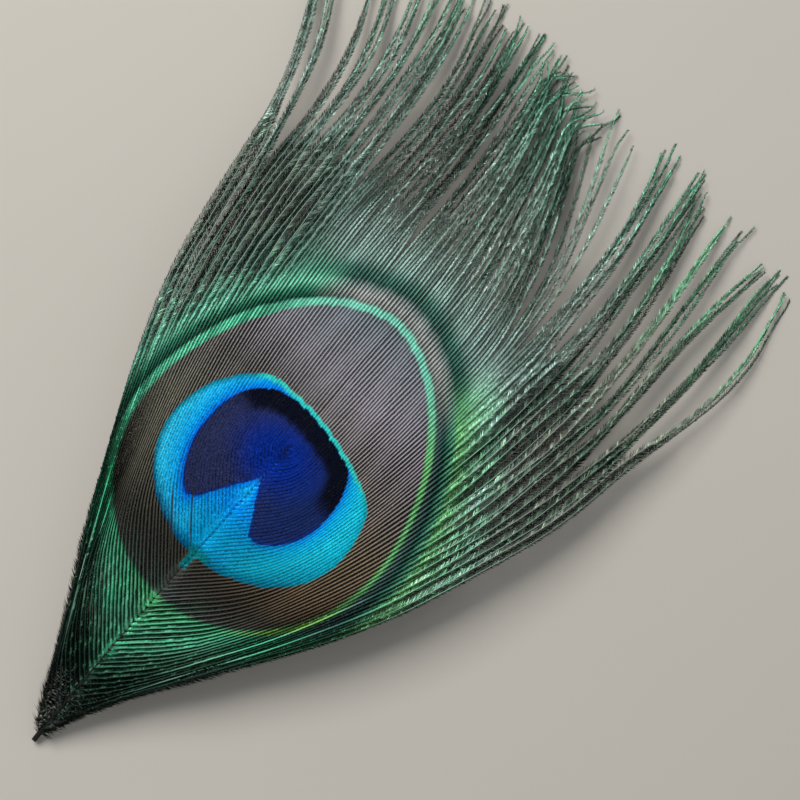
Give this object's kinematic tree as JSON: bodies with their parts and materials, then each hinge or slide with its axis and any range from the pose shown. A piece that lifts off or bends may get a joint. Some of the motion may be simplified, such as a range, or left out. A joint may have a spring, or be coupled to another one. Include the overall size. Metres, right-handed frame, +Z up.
{
  "type": "peacock feather",
  "caption": "Trimmed eye feather lying face up: a short dark shaft with curved locks of barbs on both sides that end in a loose fringe.",
  "frame": {"origin": "bottom centre of the whole feather's box, on the surface that it lies on", "axes": "+Y along the shaft from the cut base to the fringe tips, +X to the right seen from the face, +Z up out of the face"},
  "size_m": [0.0754, 0.1064, 0.0079],
  "materials": {
    "shaft": "satin",
    "inner_barbs": "satin",
    "middle_barbs": "satin",
    "outer_barbs": "satin"
  },
  "bodies": {
    "root": {"rachis": "shaft", "lock_left_1": "inner_barbs", "lock_left_2": "inner_barbs", "lock_left_3": "inner_barbs", "lock_left_4": "middle_barbs", "lock_left_5": "middle_barbs", "lock_left_6": "outer_barbs", "lock_left_7": "outer_barbs", "lock_right_1": "inner_barbs", "lock_right_2": "inner_barbs", "lock_right_3": "inner_barbs", "lock_right_4": "middle_barbs", "lock_right_5": "middle_barbs", "lock_right_6": "outer_barbs", "lock_right_7": "outer_barbs", "lock_right_8": "outer_barbs"}
  },
  "joints": []
}
